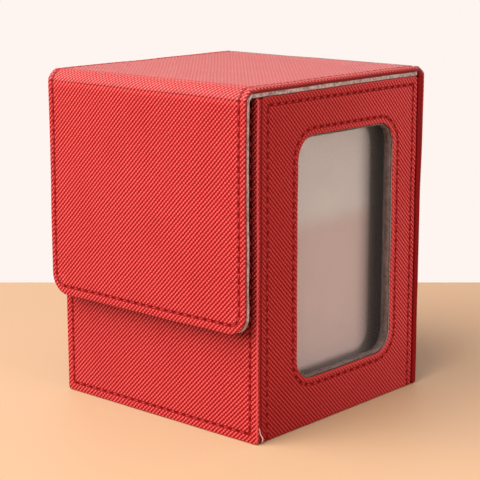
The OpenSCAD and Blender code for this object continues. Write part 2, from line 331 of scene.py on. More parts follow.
class Draft:
    """A mesh being drawn on a sheet. Each vertex keeps its place in the leather's grain."""

    def __init__(self):
        self.mesh = bmesh.new()
        self.grain_u = self.mesh.verts.layers.float.new("grain_u")
        self.grain_v = self.mesh.verts.layers.float.new("grain_v")
        # edge: rubbed paler with a painted highlight above 0, painted shade behind an edge below 0
        self.edge = self.mesh.verts.layers.float.new("edge")

    def vertex(self, place, grain, edge):
        """Adds a vertex at (u, v, n)."""
        vert = self.mesh.verts.new(place)
        vert[self.grain_u], vert[self.grain_v] = grain
        vert[self.edge] = edge
        return vert

    def row(self, points, height, grain=None, edge=0.0):
        """Adds a row of vertices at some (u, v). Their height is a number, or a function of u and v."""
        heights = [height(u, v) if callable(height) else height for u, v in points]
        return [self.vertex((u, v, n), at, edge)
                for (u, v), n, at in zip(points, heights, points if grain is None else grain)]

    def join(self, rows, closed):
        """Quads between each row and the next. All rows have the same length."""
        count = len(rows[0])
        for first, second in zip(rows, rows[1:]):
            for i in range(count if closed else count - 1):
                j = (i + 1) % count
                self.mesh.faces.new((first[i], first[j], second[j], second[i]))

    def grid(self, us, vs, height):
        """A face with a vertex at every u and v."""
        self.join([self.row([(u, v) for u in us], height) for v in vs], closed=False)

    def weld(self):
        """Makes one vertex of those that lie in the same place."""
        bmesh.ops.remove_doubles(self.mesh, verts=self.mesh.verts[:], dist=1e-3)

    def face_outwards(self):
        """Turns every face outwards."""
        bmesh.ops.recalc_face_normals(self.mesh, faces=self.mesh.faces[:])

    def cut_above(self, v):
        """Cuts away everything past v."""
        parts = self.mesh.verts[:] + self.mesh.edges[:] + self.mesh.faces[:]
        bmesh.ops.bisect_plane(self.mesh, geom=parts, dist=1e-5, plane_co=(0, v, 0),
                               plane_no=(0, 1, 0), clear_outer=True)


def edge_profile(thickness, edge, hem):
    """The leather's way round a board's edge, from the end of the hem to the face.
    Each point is (inset from the panel's edge, depth, inset along the sheet)."""
    turns = [math.pi / 2 * i / EDGE_STEPS for i in range(EDGE_STEPS + 1)]
    points = [(hem, thickness)]
    points += [(edge.behind * (1 - math.sin(t)), thickness - edge.behind * (1 - math.cos(t))) for t in turns]
    points += [(edge.radius * (1 - math.cos(t)), edge.radius * (1 - math.sin(t))) for t in turns]
    walked = [edge.radius]
    for (inset, depth), (inset_before, depth_before) in zip(points[::-1], points[-2::-1]):
        walked.append(walked[-1] - math.hypot(inset - inset_before, depth - depth_before))
    return [(inset, depth, along) for (inset, depth), along in zip(points, walked[::-1])]


def wear_and_painted_light_at(inset, depth, edge):
    """How much the leather is rubbed paler along the edge's outermost line, from use and as a painted
    highlight, and below 0 how much painted shade lies in the shelter behind it.
    """
    near_line = max(0.0, 1 - abs(inset - depth) / WEAR_AND_HIGHLIGHT_REACH)
    shelter_starts, shelter_full = 0.1, 0.7
    painted_shade_behind_edge = float(smooth(shelter_starts, shelter_full, depth - edge.radius / 2))
    return edge.wear * near_line * (1 - painted_shade_behind_edge) - painted_shade_behind_edge


def rounded_loop(low, high, insets, radius, steps):
    """Points round a rectangle with round corners, anticlockwise from the left end of its lower side."""
    left, bottom, right, top = insets
    r = max(radius, 0.0)
    u0, v0, u1, v1 = low[0] + left + r, low[1] + bottom + r, high[0] - right - r, high[1] - top - r
    centres = np.array([(u1, v0), (u1, v1), (u0, v1), (u0, v0)])

    def out(degrees):
        a = math.radians(degrees)
        return r * np.array([math.cos(a), math.sin(a)])

    loop = []
    for side in range(4):
        turned, count = 90 * (side - 1), steps[side % 2]
        start, end = centres[side - 1] + out(turned), centres[side] + out(turned)
        loop += [start + (end - start) * i / count for i in range(count)]
        loop += [centres[side] + out(turned + 90 * i / CORNER_STEPS) for i in range(CORNER_STEPS)]
    return np.array(loop)


def panel_draft(low, high, thickness, edge, corner, lines, rows, hole=False, flare=0.0):
    """A panel's leather: its hem, its round edge all the way round, and its face.
    lines are the insets of the stitching at the left, bottom, right and top. The face is closed by a
    grid, or it goes on to the window's edge if there is a hole. flare is how much wider the panel is
    at its back than at its face, on the left and on the right."""
    draft = Draft()
    steps = [max(2, round((high[i] - low[i]) / GRID_STEP)) for i in (0, 1)]

    def height(u, v):
        return leather_height(u, v, rows)

    loops = []
    for inset, depth, along in edge_profile(thickness, edge, HEM):
        at_sides = inset - flare * float(smooth(edge.radius, thickness - edge.behind, depth))
        points = rounded_loop(low, high, [at_sides, inset] * 2, corner - inset, steps)
        grain = rounded_loop(low, high, [along] * 4, corner - along, steps)
        loops.append(draft.row(points, -depth, grain, wear_and_painted_light_at(inset, depth, edge)))
    for offset in BESIDE_STITCHES:
        insets = [line + offset for line in lines]
        inner_corner = 0 if offset == BESIDE_STITCHES[-1] else corner - min(insets)
        points = rounded_loop(low, high, insets, inner_corner, steps)
        loops.append(draft.row(points, height))
    if hole:
        loops += hole_loops(draft, points, height, steps)
    draft.join(loops, closed=True)
    if not hole:
        left, bottom, right, top = insets
        draft.grid(np.linspace(low[0] + left, high[0] - right, steps[0] + 1),
                   np.linspace(low[1] + bottom, high[1] - top, steps[1] + 1), height)
    draft.weld()
    return draft


def hole_loops(draft, outside, height, steps):
    """Loops from the last loop round a face to the window's edge, where the leather turns in."""
    def window_loop(grow):
        return rounded_loop(WINDOW_LOW, WINDOW_HIGH, [-grow] * 4, WINDOW_R + grow, steps)

    loops = []
    nearest = window_loop(STITCH_INSET + BESIDE_STITCHES[-1])
    steps_between = 4
    for i in range(1, steps_between):
        loops.append(draft.row(outside + (nearest - outside) * i / steps_between, height))
    for offset in BESIDE_STITCHES[::-1]:
        loops.append(draft.row(window_loop(STITCH_INSET + offset), height))
    for i in range(EDGE_STEPS + 1):
        t = math.pi / 2 * i / EDGE_STEPS
        points, grain = (window_loop(WINDOW_EDGE_R * (1 - turned)) for turned in (math.sin(t), t))
        loops.append(draft.row(points, -WINDOW_EDGE_R * (1 - math.cos(t)), grain, WINDOW_EDGE_WEAR_AND_HIGHLIGHT))
    return loops


def strip_draft(v0, v1, v_steps, starts, ends, rows):
    """A length of the wrap from v0 to v1: its hems, both round edges and its face.
    starts and ends are (thickness, edge) at v0 and at v1."""
    draft = Draft()
    near_row = [-STITCH_X + offset for offset in BESIDE_STITCHES]
    middle = np.linspace(near_row[-1], -near_row[-1], round(2 * HALF_W / GRID_STEP))
    across = near_row[:-1] + list(middle) + [-u for u in near_row[-2::-1]]
    stations = []
    for share in np.linspace(0, 1, v_steps + 1):
        v = v0 + (v1 - v0) * share
        thickness = starts[0] + (ends[0] - starts[0]) * share
        edge = Edge(*(a + (b - a) * share for a, b in zip(starts[1], ends[1])))
        # the edge value: a painted highlight with the rubbing along the edges' outer lines, painted shade
        # behind them
        side = [(-HALF_W + inset, -depth, -HALF_W + along, wear_and_painted_light_at(inset, depth, edge))
                for inset, depth, along in edge_profile(thickness, edge, HEM)]
        face = [(u, leather_height(u, v, rows), u, 0.0) for u in across]
        other_side = [(-u, n, -grain_u, wear_and_painted_light) for u, n, grain_u, wear_and_painted_light in side[::-1]]
        stations.append([draft.vertex((u, v, n), (grain_u, v), wear_and_painted_light)
                         for u, n, grain_u, wear_and_painted_light in side + face + other_side])
    draft.join(stations, closed=False)
    return draft


def slab_draft(low, high, thickness, radius, corner, fray=0.0):
    """A closed flat piece with round edges, whose face is at n = 0. fray makes its width uneven."""
    draft = Draft()
    fewest_steps = 8
    steps = [max(fewest_steps, round((high[i] - low[i]) / GRID_STEP)) for i in (0, 1)]
    rim = max(radius * 1.5, corner)
    loops = []
    for inset, depth, _ in edge_profile(thickness, Edge(radius, radius, 0), rim) + [(rim, 0.0, rim)]:
        loops.append(draft.row(rounded_loop(low, high, [inset] * 4, corner - inset, steps), -depth))
    draft.join(loops, closed=True)
    us = np.linspace(low[0] + rim, high[0] - rim, steps[0] + 1)
    vs = np.linspace(low[1] + rim, high[1] - rim, steps[1] + 1)
    draft.grid(us, vs, 0.0)
    draft.grid(us[::-1], vs, -thickness)
    draft.weld()
    draft.face_outwards()
    centre = (low[0] + high[0]) / 2
    reach = (high[0] - low[0]) / 2
    edges_apart = 50
    for vert in draft.mesh.verts:
        place = Vector((math.copysign(edges_apart, vert.co.x), vert.co.y / 6, vert.co.y / 19))
        unevenness = 0.5 + 0.9 * noise.noise(place)
        vert.co.x = centre + (vert.co.x - centre) * (1 - fray * unevenness / reach)
    return draft


def linked(name, data):
    """A new object in the scene."""
    made = bpy.data.objects.new(name, data)
    bpy.context.scene.collection.objects.link(made)
    return made


def smooth_piece(name, points, faces, material):
    """A smooth piece with its points in millimetres."""
    mesh = bpy.data.meshes.new(name)
    mesh.from_pydata((np.array(points) * MM).tolist(), [], faces)
    mesh.polygons.foreach_set("use_smooth", [True] * len(mesh.polygons))
    mesh.materials.append(material)
    mesh.update()
    return linked(name, mesh)


def tube_faces(rings, sides):
    """The quads and both ends of a tube, whose rings go anticlockwise as seen from its last ring."""
    faces = []
    for first in range(0, (rings - 1) * sides, sides):
        for i in range(sides):
            j = (i + 1) % sides
            faces.append((first + i, first + j, first + sides + j, first + sides + i))
    start, end = range(sides), range((rings - 1) * sides, rings * sides)
    return faces + [tuple(start)[::-1], tuple(end)]


def thickened(mesh, thickness):
    """The mesh as a sheet of that thickness, grown inwards, and closed at its rims, which are flat."""
    holder = linked("holder", mesh)
    solidify = holder.modifiers.new("sheet", "SOLIDIFY")
    solidify.thickness = thickness
    solidify.offset = -1
    solidify.material_offset_rim = 1
    bpy.context.view_layer.update()
    sheet = bpy.data.meshes.new_from_object(holder.evaluated_get(bpy.context.evaluated_depsgraph_get()))
    bpy.data.objects.remove(holder)
    for face in sheet.polygons:
        face.use_smooth = face.material_index == 0
    return sheet


def finished(name, draft, surface, materials, rows=(), grain=(1, 0, 1, 0), thickness=None):
    """Turns a draft into an object on its surface. grain is (scale u, shift u, scale v, shift v), and
    thickness makes the draft a sheet."""
    grain_map = draft.mesh.loops.layers.uv.new("grain")
    stitch_map = draft.mesh.loops.layers.uv.new("stitch")
    far_from_stitches = (0.5, 9.0)
    for face in draft.mesh.faces:
        centre = face.calc_center_median()
        place = np.array(centre[:2])
        on_face = centre[2] > -2 * GROOVE_DEPTH
        row = nearest_row(rows, place) if on_face and beside(rows, place) < ROW_REACH else None
        face.smooth = True
        for loop in face.loops:
            vert = loop.vert
            loop[grain_map].uv = (grain[0] * vert[draft.grain_u] + grain[1],
                                  grain[2] * vert[draft.grain_v] + grain[3])
            loop[stitch_map].uv = far_from_stitches
            if row:
                along, across = row.local(np.array(vert.co[:2]))
                loop[stitch_map].uv = (along * row.count / row.length, across)
    placed = soften(surface([vert.co for vert in draft.mesh.verts]))
    for vert, point in zip(draft.mesh.verts, placed):
        vert.co = point
    mesh = bpy.data.meshes.new(name)
    draft.mesh.to_mesh(mesh)
    draft.mesh.free()
    for material in materials:
        mesh.materials.append(material)
    if thickness:
        mesh = thickened(mesh, thickness)
    mesh.name = name
    for vertex in mesh.vertices:
        vertex.co *= MM
    return linked(name, mesh)


# ---- thread ----

def stitch_template():
    """One stitch along the first axis: two plies twisted together, that dip into the leather at both ends."""
    sides, rings, twist, dip = 10, 12, 5.0, 0.5
    ply_bulge, end_taper = 0.17, 0.9
    points = []
    for i in range(rings + 1):
        t = 2 * i / rings - 1
        taper = math.sqrt(1 - end_taper * t ** 6)
        for j in range(sides):
            a = 2 * math.pi * j / sides
            reach = STITCH_R * taper * (1 + ply_bulge * math.cos(2 * (a - twist * t)))
            height = reach * math.sin(a) - STITCH_SUNK - dip * t ** 4
            points.append((t * STITCH_LENGTH / 2, reach * math.cos(a), height))
    return np.array(points), tube_faces(rings + 1, sides)


def stitches(name, surface, rows):
    """All stitches of some rows on a surface, as one piece."""
    template, template_faces = stitch_template()
    points, faces = [], []
    for row in rows:
        for i in range(row.count):
            centre, way = row.at((i + 0.5) / row.count)
            beside_way = np.array([-way[1], way[0]])
            uv = centre + np.outer(template[:, 0], way) + np.outer(template[:, 1], beside_way)
            start = len(points) * len(template)
            points.append(soften(surface(np.column_stack([uv, template[:, 2]]))))
            faces += [tuple(start + k for k in face) for face in template_faces]
    return smooth_piece(name, np.vstack(points), faces, thread)


# ---- materials ----

class Recipe:
    """A material's node tree, with short calls that add nodes and join them."""

    def __init__(self, name):
        self.material = bpy.data.materials.new(name)
        self.material.use_nodes = True
        self.tree = self.material.node_tree
        self.tree.nodes.clear()
        self.shader = self.add("ShaderNodeBsdfPrincipled", {})
        output = self.add("ShaderNodeOutputMaterial", {})
        self.tree.links.new(self.shader.outputs[0], output.inputs["Surface"])

    def add(self, kind, inputs, **settings):
        made = self.tree.nodes.new(kind)
        for key, value in settings.items():
            setattr(made, key, value)
        for key, value in inputs.items():
            self.put(made.inputs[key], value)
        return made

    def put(self, socket, value):
        """Joins a socket to another one, or sets its value."""
        if isinstance(value, bpy.types.NodeSocket):
            self.tree.links.new(value, socket)
        elif isinstance(value, tuple) and len(value) == 3 and socket.type == "RGBA":
            socket.default_value = (*value, 1.0)
        else:
            socket.default_value = value

    def math(self, operation, first, second=0.0):
        return self.add("ShaderNodeMath", {0: first, 1: second}, operation=operation).outputs[0]

    def scaled(self, value, factor):
        return self.math("MULTIPLY", value, factor)

    def sum(self, first, *others):
        for other in others:
            first = self.math("ADD", first, other)
        return first

    def mix(self, factor, first, second):
        made = self.add("ShaderNodeMix", {0: factor, 6: first, 7: second}, data_type="RGBA")
        return made.outputs[2]

    def product(self, first, second):
        """Two colours or vectors, multiplied channel by channel."""
        return self.add("ShaderNodeVectorMath", {0: first, 1: second}, operation="MULTIPLY").outputs[0]

    def apart(self, place):
        """A place's coordinates, one by one."""
        return self.add("ShaderNodeSeparateXYZ", {0: place}).outputs

    def sheet_place(self, layer):
        """A UV layer, and its two coordinates."""
        place = self.add("ShaderNodeUVMap", {}, uv_map=layer).outputs[0]
        u, v, _ = self.apart(place)
        return place, u, v

    def object_place(self):
        """The place on the object in millimetres."""
        return self.product(self.add("ShaderNodeTexCoord", {}).outputs["Object"], (1 / MM,) * 3)

    def noise(self, place, scale, detail=2.0, distortion=0.0):
        return self.add("ShaderNodeTexNoise", {"Vector": place, "Scale": scale, "Detail": detail,
                                               "Distortion": distortion}).outputs[0]

    def wave(self, phase):
        """The cosine of a phase that is given in turns."""
        return self.math("COSINE", self.scaled(phase, 2 * math.pi))

    def step(self, value, low, high):
        """0 at low, 1 at high, smooth between. It falls where low is above high."""
        return self.add("ShaderNodeMapRange", {0: value, 1: low, 2: high},
                        interpolation_type="SMOOTHSTEP").outputs[0]

    def spread(self, value, low, high):
        """A value between 0 and 1, as one between low and high."""
        return self.add("ShaderNodeMapRange", {0: value, 3: low, 4: high}).outputs[0]

    def bump(self, height, distance, strength=1.0):
        made = self.add("ShaderNodeBump", {"Height": height, "Distance": distance * MM, "Strength": strength})
        self.put(self.shader.inputs["Normal"], made.outputs[0])

    def set(self, **values):
        """Sets the shader's own sockets. An underscore in a name stands for a space."""
        for key, value in values.items():
            self.put(self.shader.inputs[key.replace("_", " ")], value)


# the colour of the painted shade in the stitch holes and behind the leather's edges
PAINTED_SHADE_RED = (0.075, 0.0002, 0.0003)
FULL = (1.0, 1.0, 1.0)   # a gain that leaves a colour as it is
# painted shade darkens the leather at the box's foot, up to this height
FOOT_SHADE_TOP = 25.0    # height at which the leather has its full colour
# turns of the embossing per millimetre along both directions of the sheet
RIDGE_TURNS = (0.71, -0.71)
CUT_TURNS = (0.74, 0.67)


def leather_material(name, dark, middle, bright, gloss=0.04, sheen=0.03, depth=0.22,
                     back_light_gain=FULL, foot_shade_gain=FULL):
    """Embossed leather: slanted ridges that are broken into beads, holes at the stitches with painted shade
    in them, edges rubbed paler along their outermost lines from use and as a painted highlight, painted shade
    behind the edges and along the rows of stitches. The back gain paints light: how much paler the leather is
    at the box's back than at its front; the foot gain paints shade: how much of its colour is left at the
    box's foot."""
    recipe = Recipe(name)
    place, u, v = recipe.sheet_place("grain")
    wobble = recipe.scaled(recipe.noise(place, 0.9), 0.25)
    ridges, cuts = (recipe.wave(recipe.sum(recipe.scaled(u, turns[0]), recipe.scaled(v, turns[1]), wobble))
                    for turns in (RIDGE_TURNS, CUT_TURNS))
    beads = recipe.math("MULTIPLY", ridges, cuts)
    embossing = recipe.sum(*(recipe.scaled(shape, height) for shape, height in
                             ((ridges, 0.32), (cuts, 0.12), (beads, 0.07))))

    _, stitch_u, stitch_v = recipe.sheet_place("stitch")
    beside_row = recipe.math("ABSOLUTE", stitch_v)
    from_hole = recipe.math("PINGPONG", stitch_u, 0.5)
    hole_u = recipe.math("POWER", recipe.scaled(from_hole, STITCH_PITCH / HOLE_HALF_LENGTH), 2.0)
    hole_v = recipe.math("POWER", recipe.scaled(beside_row, 1 / HOLE_HALF_WIDTH), 2.0)
    hole = recipe.step(recipe.sum(hole_u, hole_v), 1.3, 0.5)
    # near a row of stitches the embossing flattens, and painted shade darkens the dip
    groove_and_shade = recipe.step(beside_row, 0.7, 0.15)

    # the edge attribute: above 0 rubbing with a painted highlight, below 0 painted shade behind the edge
    edge = recipe.add("ShaderNodeAttribute", {}, attribute_name="edge").outputs["Fac"]
    wear_and_painted_light = recipe.math("MAXIMUM", edge, 0.0)
    painted_shade_behind_edge = recipe.math("MAXIMUM", recipe.scaled(edge, -1.0), 0.0)
    flattened = recipe.math("MAXIMUM", recipe.scaled(groove_and_shade, 0.7), recipe.math("MAXIMUM", wear_and_painted_light, painted_shade_behind_edge))
    embossing = recipe.math("MULTIPLY", embossing, recipe.math("SUBTRACT", 1.0, flattened))
    fine = recipe.noise(place, 6.0, 3.0)
    relief = recipe.sum(0.42, embossing, recipe.scaled(fine, 0.16))

    patches = recipe.noise(place, 0.05, 3.0)
    ramp = recipe.add("ShaderNodeValToRGB", {0: relief})
    stops = ramp.color_ramp.elements
    stops[0].position, stops[0].color = 0.20, (*dark, 1)
    stops[1].position, stops[1].color = 0.80, (*bright, 1)
    stops.new(0.48).color = (*middle, 1)
    # paler along the edges' outermost lines: partly from use, partly a painted highlight
    colour = recipe.mix(recipe.scaled(wear_and_painted_light, 0.9), ramp.outputs[0], bright)
    colour = recipe.mix(recipe.scaled(recipe.step(patches, 0.35, 0.8), 0.14), colour, dark)
    _, y, z = recipe.apart(recipe.object_place())
    # painted light: paler towards the box's back; painted shade: darker towards its foot
    colour = recipe.product(colour, recipe.mix(recipe.step(y, FRONT_LOW[1], BACK_HIGH[1]), FULL, back_light_gain))
    colour = recipe.product(colour, recipe.mix(recipe.step(z, 0.0, FOOT_SHADE_TOP), foot_shade_gain, FULL))
    # painted shade along the rows of stitches
    colour = recipe.mix(recipe.scaled(groove_and_shade, 0.9), colour, dark)
    # painted shade in the stitch holes and behind the edges
    painted_shade = recipe.math("MAXIMUM", recipe.scaled(painted_shade_behind_edge, 0.9), recipe.scaled(hole, 0.95))
    colour = recipe.mix(painted_shade, colour, PAINTED_SHADE_RED)
    rough = recipe.sum(0.45, recipe.scaled(fine, 0.2))
    recipe.set(Base_Color=colour, Roughness=rough, Specular_IOR_Level=gloss, Sheen_Weight=sheen,
               Sheen_Roughness=0.3)
    recipe.bump(recipe.math("SUBTRACT", embossing, recipe.scaled(hole, 0.2)), depth, 1.0)
    return recipe.material


def backing_material():
    """The leather's cut edge: pale knitted backing."""
    recipe = Recipe("leather_backing")
    place = recipe.object_place()
    grain = recipe.noise(place, 4.0, 3.0)
    recipe.set(Base_Color=recipe.mix(grain, (0.30, 0.13, 0.11), (0.42, 0.24, 0.20)), Roughness=0.9)
    recipe.bump(grain, 0.1)
    return recipe.material


def thread_material():
    """Red thread with fine fibres."""
    recipe = Recipe("thread")
    place = recipe.object_place()
    fibres = recipe.noise(place, 7.0, 3.0)
    slow = recipe.noise(place, 0.3, 2.0)
    colour = recipe.mix(fibres, (0.11, 0.002, 0.002), (0.24, 0.01, 0.01))
    colour = recipe.mix(recipe.step(slow, 0.3, 0.9), colour, (0.14, 0.004, 0.004))
    recipe.set(Base_Color=colour, Roughness=0.62, Sheen_Weight=0.05, Sheen_Roughness=0.4,
               Specular_IOR_Level=0.1)
    recipe.bump(fibres, 0.06)
    return recipe.material


def suede_material(name, dark, light, fleck, fuzz):
    """Suede cloth: short matted fibres, brushed patches, dark flecks and a soft sheen."""
    recipe = Recipe(name)
    place = recipe.object_place()
    fibres = recipe.noise(place, 0.9, 4.0)
    speck = recipe.noise(place, 9.0, 2.0)
    flecks = recipe.step(recipe.noise(place, 0.55, 5.0), 0.54, 0.66)
    colour = recipe.mix(recipe.step(fibres, 0.38, 0.60), dark, light)
    colour = recipe.mix(recipe.scaled(flecks, 0.6), colour, fleck)
    recipe.set(Base_Color=colour, Roughness=0.95, Specular_IOR_Level=0.2, Sheen_Weight=fuzz,
               Sheen_Roughness=0.5)
    recipe.bump(recipe.sum(fibres, recipe.scaled(speck, 0.5)), 0.15, 0.7)
    return recipe.material


def pocket_material():
    """The back of the display pocket: smooth card with painted light, greyer above from the wall and warmer
    below from the table, and painted shade of the window's frame towards its rear edge.
    """
    recipe = Recipe("pocket_back")
    place = recipe.object_place()
    _, y, z = recipe.apart(place)
    fine = recipe.noise(place, 2.0, 3.0)
    clouds = recipe.sum(recipe.scaled(recipe.noise(place, 0.08, 3.0), 0.8), recipe.scaled(fine, 0.2))
    # painted light: warm from the table below, grey from the wall above
    below = recipe.mix(clouds, (0.232, 0.169, 0.153), (0.282, 0.205, 0.186))
    above = recipe.mix(clouds, (0.252, 0.219, 0.204), (0.3, 0.261, 0.243))
    blur, shade_before, shade_past = 4, 7.5, 4.5
    colour = recipe.mix(recipe.step(z, POCKET_PAINTED_LIGHT_Z - blur, POCKET_PAINTED_LIGHT_Z + blur), below, above)
    # painted shade of the window's frame on the pocket's back
    shade = recipe.step(y, WINDOW_HIGH[0] - shade_before, WINDOW_HIGH[0] + shade_past)
    colour = recipe.mix(recipe.scaled(shade, 0.97), colour, (0.013, 0.007, 0.007))
    recipe.set(Base_Color=colour, Roughness=0.6, Specular_IOR_Level=0.05)
    recipe.bump(fine, 0.02)
    return recipe.material


def board_material():
    """Grey board: pressed fibres and darker flecks."""
    recipe = Recipe("board")
    place = recipe.object_place()
    pulp = recipe.noise(place, 1.2, 5.0)
    fleck = recipe.step(recipe.noise(place, 5.0, 1.0), 0.66, 0.72)
    colour = recipe.mix(pulp, (0.36, 0.34, 0.31), (0.48, 0.46, 0.42))
    recipe.set(Base_Color=recipe.mix(fleck, colour, (0.16, 0.15, 0.14)), Roughness=0.92)
    recipe.bump(pulp, 0.06)
    return recipe.material


def magnet_material():
    """Nickel plating with fine scratches."""
    recipe = Recipe("magnet")
    place = recipe.object_place()
    scratch = recipe.noise(place, 2.0, 6.0, distortion=1.5)
    colour = recipe.mix(scratch, (0.62, 0.62, 0.63), (0.80, 0.79, 0.77))
    recipe.set(Base_Color=colour, Metallic=1.0, Roughness=recipe.spread(scratch, 0.12, 0.4))
    recipe.bump(scratch, 0.01)
    return recipe.material


def pane_material():
    """Clear plastic film with a faint haze, uneven gloss and a slightly wavy surface."""
    recipe = Recipe("pane")
    place = recipe.object_place()
    slow = recipe.noise(place, 0.04, 2.0)
    haze = recipe.noise(place, 0.6, 4.0)
    colour = recipe.mix(haze, (0.13, 0.12, 0.115), (0.18, 0.17, 0.16))
    recipe.set(Base_Color=colour, Roughness=recipe.spread(haze, 0.12, 0.2), Alpha=0.04,
               Specular_IOR_Level=0.5, Coat_Weight=0.2, Coat_Roughness=0.12)
    recipe.bump(slow, 0.4, 0.5)
    return recipe.material


leather = leather_material("embossed_leather", dark=(0.10, 0.0006, 0.0006), middle=(0.182, 0.0055, 0.0055),
                           bright=(0.33, 0.047, 0.046))
# a shaded copy of the embossed leather for the side panels: its darker colours paint the sides' shade, with
# painted light paler towards the back and painted shade at the foot
shaded_side_leather = leather_material("shaded_side_leather", dark=(0.094, 0.0006, 0.0005), middle=(0.155, 0.0042, 0.0038),
                                bright=(0.24, 0.024, 0.022), back_light_gain=(1.35, 2.1, 2.3),
                                foot_shade_gain=(0.87, 0.72, 0.72))
# a painted-light copy of the embossed leather for the lid and its creases: its colours are toned to how the
# light falls on the top
lid_leather = leather_material("lid_leather", dark=(0.09, 0.0006, 0.0006), middle=(0.175, 0.007, 0.007),
                               bright=(0.33, 0.06, 0.057), gloss=0.12, sheen=0.07, depth=0.14)
backing = backing_material()
thread = thread_material()
suede = suede_material("suede_lining", dark=(0.122, 0.084, 0.079), light=(0.238, 0.17, 0.153),
                       fleck=(0.082, 0.047, 0.051), fuzz=0.17)
dark_suede = suede_material("dark_suede_lining", dark=(0.045, 0.027, 0.023), light=(0.08, 0.048, 0.04),
                            fleck=(0.025, 0.015, 0.015), fuzz=0.05)
pocket_back = pocket_material()
board = board_material()
nickel = magnet_material()
film = pane_material()


# ---- pieces ----

def settle(piece, body, slot_name, *nodes):
    """Makes a piece ride on a body and stand for CAD nodes, by hiding them. slot_name is not used."""
    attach(piece, body)
    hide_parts(*nodes)


def panel(node, body, surface, low, high, thickness, edge, lines, rows=(),
          corner=CORNER_R, hole=False, cut=None, grain=(1, 0, 1, 0), skin=leather, flare=0.0):
    """A leather panel that stands for a node, drawn on its surface and settled on its body."""
    draft = panel_draft(low, high, thickness + HEM_LIFT, edge, corner, lines, rows, hole, flare)
    if cut is not None:
        draft.cut_above(cut)
    piece = finished(node + "_wrap", draft, surface, (skin, backing), rows, grain, LEATHER_T)
    settle(piece, body, "leather", node)


# insets of the front and back panels' stitching at the left, bottom, right and top
WRAP_LINES = (WALL_STITCH_INSET, WALL_STITCH_INSET, WALL_STITCH_INSET, STITCH_INSET)
# the wrap's thickness and edge along the lid, and where a crease meets the flap and the back panel
LID_SECTION = (LID_T + HEM_LIFT, LID_EDGE)
FLAP_SECTION = (FLAP_WRAP_T + HEM_LIFT, FLAP_EDGE)
BACK_SECTION = (WRAP_T + HEM_LIFT, BACK_EDGE)


def make_front():
    panel("front_leather", "case", FRONT_FACE, (-HALF_W, 0), (HALF_W, WALL_TOP), WRAP_T, FRONT_EDGE,
          WRAP_LINES, WRAP_ROWS, grain=(1, 0, 1, FRONT_SHIFT))


def make_back():
    """The back panel, whose embossing goes on from the hinge's."""
    shift = FOLD_LENGTH + LID_LENGTH + HINGE_LENGTH + WALL_TOP
    panel("back_leather", "case", BACK_FACE, (-HALF_W, 0), (HALF_W, WALL_TOP + PAST_CUT), WRAP_T, BACK_EDGE,
          WRAP_LINES, WRAP_ROWS, cut=WALL_TOP, grain=(-1, 0, -1, shift))


def make_floor():
    panel("floor_leather", "case", FLOOR_FACE, (FLOOR_LOW[0], -FLOOR_HIGH[1]), (FLOOR_HIGH[0], -FLOOR_LOW[1]),
          FLOOR_HIGH[2] - FLOOR_LOW[2], LID_EDGE, (STITCH_INSET,) * 4)


def make_flap():
    panel("flap_leather", "flap", FLAP_FACE, (-HALF_W, FLAP_LOW[2]), (HALF_W, FOLD_Z + PAST_CUT),
          FLAP_WRAP_T, FLAP_EDGE, (STITCH_INSET, WALL_STITCH_INSET, STITCH_INSET, STITCH_INSET), FLAP_ROWS,
          corner=FLAP_CORNER_R, cut=FOLD_Z, grain=(1, 0, 1, -FOLD_Z))


def strip(node, surface, v0, v1, steps, starts, ends, rows, grain_shift):
    """A length of the wrap that stands for a node, drawn on its surface."""
    draft = strip_draft(v0, v1, steps, starts, ends, rows)
    return finished(node + "_wrap", draft, surface, (lid_leather, backing), rows, (1, 0, 1, grain_shift),
                    LEATHER_T)


def make_lid():
    lid = strip("lid_leather", LID_FACE, FOLD_Y, HINGE_Y, round(LID_LENGTH / GRID_STEP), LID_SECTION,
                LID_SECTION, LID_ROWS, FOLD_LENGTH - FOLD_Y)
    settle(lid, "lid", "leather", "lid_leather")


def make_fold():
    """The crease between the lid and the flap."""
    fold = strip("fold_leather", FOLD_FACE, 0, FOLD_LENGTH, CREASE_STEPS, FLAP_SECTION, LID_SECTION,
                 FOLD_ROWS, 0)
    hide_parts("fold_leather")
    blend_fold(fold)


def make_hinge():
    """The crease between the back panel and the lid."""
    hinge = strip("hinge_leather", HINGE_FACE, 0, HINGE_LENGTH, CREASE_STEPS, LID_SECTION, BACK_SECTION,
                  (), FOLD_LENGTH + LID_LENGTH)
    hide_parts("hinge_leather")
    blend_hinge(hinge)


def blend_fold(piece):
    """Bakes a piece's place into its mesh. The piece is already drawn over the crease between the lid and the
    flap.
    """
    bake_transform(piece)


def blend_hinge(piece):
    """Bakes a piece's place into its mesh. The piece is already drawn over the crease between the back panel
    and the lid.
    """
    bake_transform(piece)


def make_sides():
    """The two inset side panels."""
    lines = (WALL_STITCH_INSET - SIDE_GAP, WALL_STITCH_INSET, WALL_STITCH_INSET - SIDE_GAP, SIDE_TOP_INSET)
    thickness = SIDE_HIGH[0] - SIDE_LOW[0] - 2 * HEM_LIFT
    gap = np.array([SIDE_GAP, 0])
    panel("window_side_leather", "case", SIDE_FACE, SIDE_LOW[1:] + gap, SIDE_HIGH[1:] - gap, thickness,
          SIDE_EDGE, lines, SIDE_ROWS + WINDOW_ROWS, hole=True, grain=(-1, 0, 1, 0), skin=shaded_side_leather,
          flare=SIDE_GAP)
    panel("plain_side_leather", "case", PLAIN_FACE, (-PLAIN_HIGH[1] + SIDE_GAP, PLAIN_LOW[2]),
          (-PLAIN_LOW[1] - SIDE_GAP, WALL_TOP), PLAIN_HIGH[0] - PLAIN_LOW[0], SIDE_EDGE, lines, PLAIN_ROWS,
          grain=(-1, 0, 1, 0), skin=shaded_side_leather, flare=SIDE_GAP)


